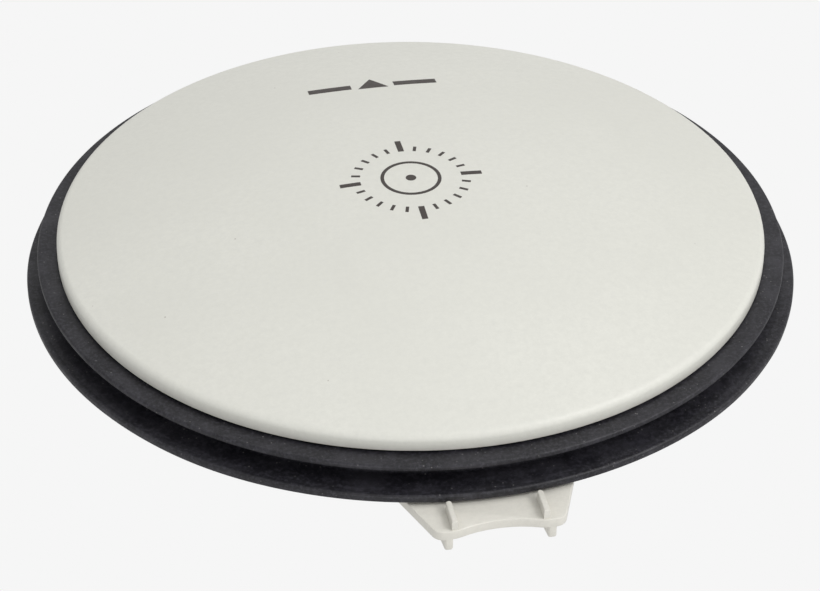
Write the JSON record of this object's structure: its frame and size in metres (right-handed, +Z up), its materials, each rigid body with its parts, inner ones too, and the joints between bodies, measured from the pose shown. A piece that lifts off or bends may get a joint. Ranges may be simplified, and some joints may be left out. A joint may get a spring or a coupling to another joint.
{
  "type": "satellite navigation antenna",
  "caption": "Round low-profile satellite navigation antenna with a shallow grey radome, a double-lipped rubber edge, a notched index tab and a threaded pole mount.",
  "frame": {"origin": "centre of the mounting hub's bottom face, where the antenna stands on its pole (its reference point)", "axes": "+Z up the antenna's axis to the sky, -Y out along the index tab, +X to the right seen from the tab"},
  "size_m": [0.1904, 0.1991, 0.0611],
  "materials": {
    "radome_plastic": "satin moulded plastic",
    "base_plastic": "satin moulded plastic",
    "bumper_rubber": "matte moulded rubber",
    "seal_rubber": "matte",
    "stainless": "plain turned",
    "hub_metal": "bead-blasted",
    "pan_metal": "plain sheet",
    "copper_foil": "etched copper",
    "board_laminate": "satin",
    "green_board": "solder mask",
    "chip_resin": "matte",
    "foam": "matte foam",
    "absorber": "matte",
    "nylon": "satin",
    "nickel_plate": "satin plated",
    "gold_plate": "plated",
    "insulator": "satin",
    "cable_jacket": "satin",
    "vent_resin": "matte",
    "label_film": "satin"
  },
  "bodies": {
    "root": {"absorber_ring": "absorber", "amplifier_board": "green_board", "amplifier_chip": "chip_resin", "amplifier_screw_1": "stainless", "amplifier_screw_2": "stainless", "amplifier_screw_3": "stainless", "amplifier_screw_4": "stainless", "antenna_board": "board_laminate", "base_housing": "base_plastic", "board_screw_1": "nylon", "board_screw_2": "nylon", "board_screw_3": "nylon", "board_screw_4": "nylon", "board_screw_5": "nylon", "board_screw_6": "nylon", "cover_screw_1": "stainless", "cover_screw_2": "stainless", "cover_screw_3": "stainless", "cover_screw_4": "stainless", "cover_screw_5": "stainless", "cover_screw_6": "stainless", "cover_screw_7": "stainless", "cover_screw_8": "stainless", "cover_seal_ring": "seal_rubber", "edge_bumper": "bumper_rubber", "feed_coax": "cable_jacket", "feed_line_ring": "copper_foil", "filter_block_1": "nickel_plate", "filter_block_2": "nickel_plate", "foam_spacer": "foam", "hub_gasket": "seal_rubber", "hub_insert": "stainless", "hub_screw_1": "stainless", "hub_screw_2": "stainless", "hub_screw_3": "stainless", "hub_screw_4": "stainless", "jack_body": "nickel_plate", "jack_contact": "gold_plate", "jack_insulator": "insulator", "jack_nut": "nickel_plate", "jack_seal_ring": "seal_rubber", "jack_washer": "stainless", "label_plate": "label_film", "mounting_hub": "hub_metal", "output_coax": "cable_jacket", "radome_shell": "radome_plastic", "reflector_pan": "pan_metal", "regulator_chip": "chip_resin", "shield_can": "nickel_plate", "slot_plate": "copper_foil", "standoff_1": "stainless", "standoff_2": "stainless", "standoff_3": "stainless", "standoff_4": "stainless", "standoff_5": "stainless", "standoff_6": "stainless", "termination_chip": "chip_resin", "vent_membrane": "insulator", "vent_plug": "vent_resin"}
  },
  "joints": []
}
